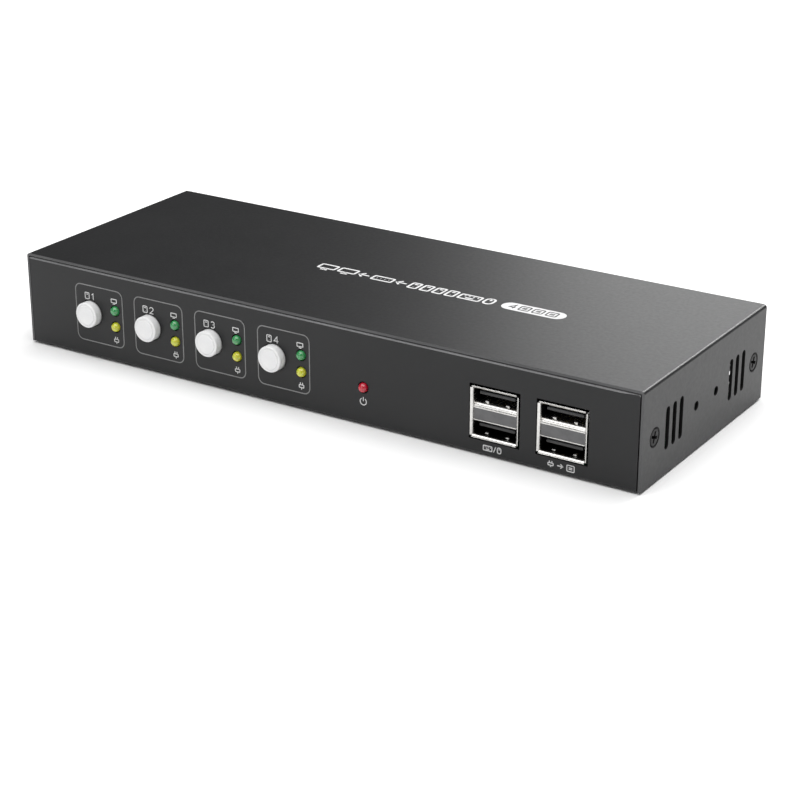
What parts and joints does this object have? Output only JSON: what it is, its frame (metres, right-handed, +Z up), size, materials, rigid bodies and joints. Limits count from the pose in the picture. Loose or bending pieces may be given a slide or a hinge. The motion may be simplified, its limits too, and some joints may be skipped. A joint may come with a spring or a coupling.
{
  "type": "kvm switch",
  "caption": "Desktop KVM switch in a folded steel case: push buttons, lamps and data sockets in front, video, data and power sockets and a rocker switch at the rear.",
  "frame": {"origin": "centre of the case's footprint, on the underside", "axes": "+Z up; -Y to the front panel with the buttons; +X to the right of someone facing the front panel, along the case's longest side"},
  "size_m": [0.21, 0.0848, 0.029],
  "materials": {
    "black_paint": "satin",
    "black_screw": "satin",
    "bare_steel": "satin",
    "standoff_brass": "satin",
    "circuit_board": "satin",
    "black_plastic": "satin",
    "white_plastic": "satin",
    "green_lens": "gloss",
    "yellow_lens": "gloss",
    "red_lens": "gloss"
  },
  "bodies": {
    "case": {"base_chassis": "black_paint", "board_link_connector": "black_plastic", "board_screw_1": "bare_steel", "board_screw_2": "bare_steel", "board_screw_3": "bare_steel", "board_screw_4": "bare_steel", "board_standoff_1": "standoff_brass", "board_standoff_2": "standoff_brass", "board_standoff_3": "standoff_brass", "board_standoff_4": "standoff_brass", "button_board": "circuit_board", "button_switch_1": "black_plastic", "button_switch_2": "black_plastic", "button_switch_3": "black_plastic", "button_switch_4": "black_plastic", "cover_screw_left_front": "black_screw", "cover_screw_left_rear": "black_screw", "cover_screw_right_front": "black_screw", "cover_screw_right_rear": "black_screw", "green_lamp_1": "green_lens", "green_lamp_2": "green_lens", "green_lamp_3": "green_lens", "green_lamp_4": "green_lens", "main_board": "circuit_board", "power_lamp": "red_lens", "power_socket": "bare_steel", "rocker_frame": "black_plastic", "square_socket_insert_1": "white_plastic", "square_socket_insert_2": "white_plastic", "square_socket_insert_3": "white_plastic", "square_socket_insert_4": "white_plastic", "square_socket_shell_1": "bare_steel", "square_socket_shell_2": "bare_steel", "square_socket_shell_3": "bare_steel", "square_socket_shell_4": "bare_steel", "stacked_socket_insert_1": "black_plastic", "stacked_socket_insert_2": "black_plastic", "stacked_socket_shell_1": "bare_steel", "stacked_socket_shell_2": "bare_steel", "top_cover": "black_paint", "upper_board": "circuit_board", "video_in_1_a": "bare_steel", "video_in_1_b": "bare_steel", "video_in_2_a": "bare_steel", "video_in_2_b": "bare_steel", "video_in_3_a": "bare_steel", "video_in_3_b": "bare_steel", "video_in_4_a": "bare_steel", "video_in_4_b": "bare_steel", "video_out_a": "bare_steel", "video_out_b": "bare_steel", "yellow_lamp_1": "yellow_lens", "yellow_lamp_2": "yellow_lens", "yellow_lamp_3": "yellow_lens", "yellow_lamp_4": "yellow_lens"},
    "button_1": {"button_cap_1": "white_plastic"},
    "button_2": {"button_cap_2": "white_plastic"},
    "button_3": {"button_cap_3": "white_plastic"},
    "button_4": {"button_cap_4": "white_plastic"},
    "rocker": {"rocker_key": "black_plastic"}
  },
  "joints": [
    {"name": "button_1_press", "type": "slide", "parent": "case", "child": "button_1", "axis": [0, 1, 0], "range_m": [0, 0.0012], "stiffness_N_per_m": 300},
    {"name": "button_2_press", "type": "slide", "parent": "case", "child": "button_2", "axis": [0, 1, 0], "range_m": [0, 0.0012], "stiffness_N_per_m": 300},
    {"name": "button_3_press", "type": "slide", "parent": "case", "child": "button_3", "axis": [0, 1, 0], "range_m": [0, 0.0012], "stiffness_N_per_m": 300},
    {"name": "button_4_press", "type": "slide", "parent": "case", "child": "button_4", "axis": [0, 1, 0], "range_m": [0, 0.0012], "stiffness_N_per_m": 300},
    {"name": "rocker_tilt", "type": "hinge", "parent": "case", "child": "rocker", "pos_m": [0.09165, 0.0393, 0.0158], "axis": [0, 0, -1], "range_deg": [0, 25]}
  ]
}
